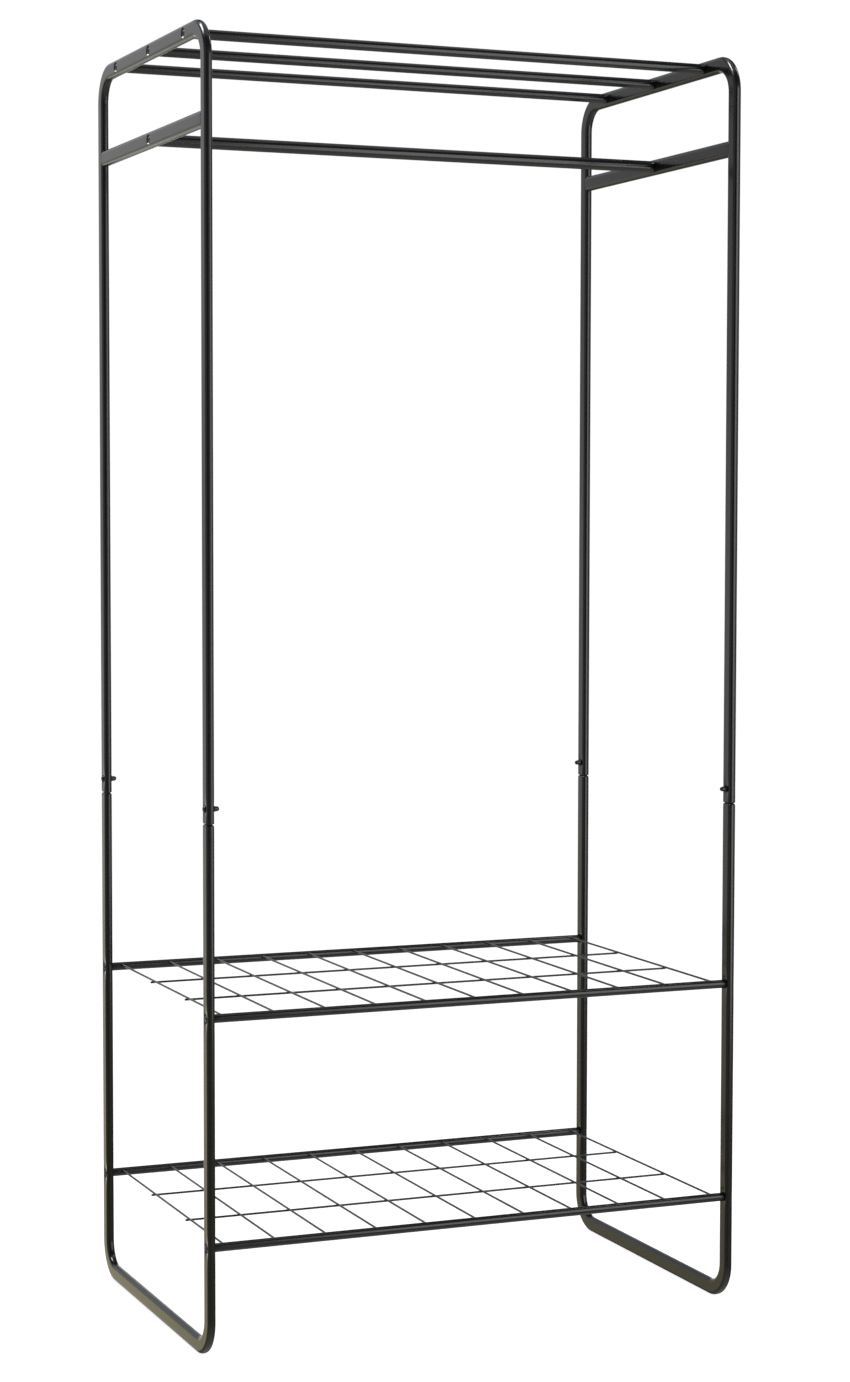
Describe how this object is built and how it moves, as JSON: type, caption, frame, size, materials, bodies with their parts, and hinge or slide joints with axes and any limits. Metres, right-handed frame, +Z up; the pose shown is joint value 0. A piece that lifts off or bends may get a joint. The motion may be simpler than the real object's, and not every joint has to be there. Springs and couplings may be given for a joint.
{
  "type": "garment rail",
  "caption": "Free-standing garment rail in black steel tube with bent side frames, a hanging rail under parallel top rails, and wire shelves near the floor.",
  "frame": {"origin": "on the floor, at the centre of the overall bounding box's base", "axes": "+X along the width towards the right side frame, +Y from front to back, +Z up"},
  "size_m": [0.804, 0.507, 1.798],
  "materials": {
    "black_powder_coat": "satin, fine orange peel",
    "black_fastener": "semi-gloss",
    "zinc_insert": "satin"
  },
  "bodies": {
    "root": {"upper_frame_left": "black_powder_coat", "upper_frame_right": "black_powder_coat", "lower_frame_left": "black_powder_coat", "lower_frame_right": "black_powder_coat", "cross_bar_left": "black_powder_coat", "cross_bar_right": "black_powder_coat", "top_rail_front": "black_powder_coat", "top_rail_middle": "black_powder_coat", "top_rail_back": "black_powder_coat", "hanging_rail": "black_powder_coat", "upper_shelf_front_tube": "black_powder_coat", "upper_shelf_back_tube": "black_powder_coat", "upper_shelf_cross_wires": "black_powder_coat", "upper_shelf_long_wires": "black_powder_coat", "lower_shelf_front_tube": "black_powder_coat", "lower_shelf_back_tube": "black_powder_coat", "lower_shelf_cross_wires": "black_powder_coat", "lower_shelf_long_wires": "black_powder_coat", "top_rail_bolts_left": "black_fastener", "top_rail_bolts_right": "black_fastener", "hanging_rail_bolts": "black_fastener", "upper_shelf_bolts": "black_fastener", "lower_shelf_bolts": "black_fastener", "leg_joint_bolts": "black_fastener", "leg_joint_cap_nuts": "black_fastener", "top_rail_inserts": "zinc_insert", "hanging_rail_inserts": "zinc_insert", "upper_shelf_inserts": "zinc_insert", "lower_shelf_inserts": "zinc_insert"}
  },
  "joints": []
}
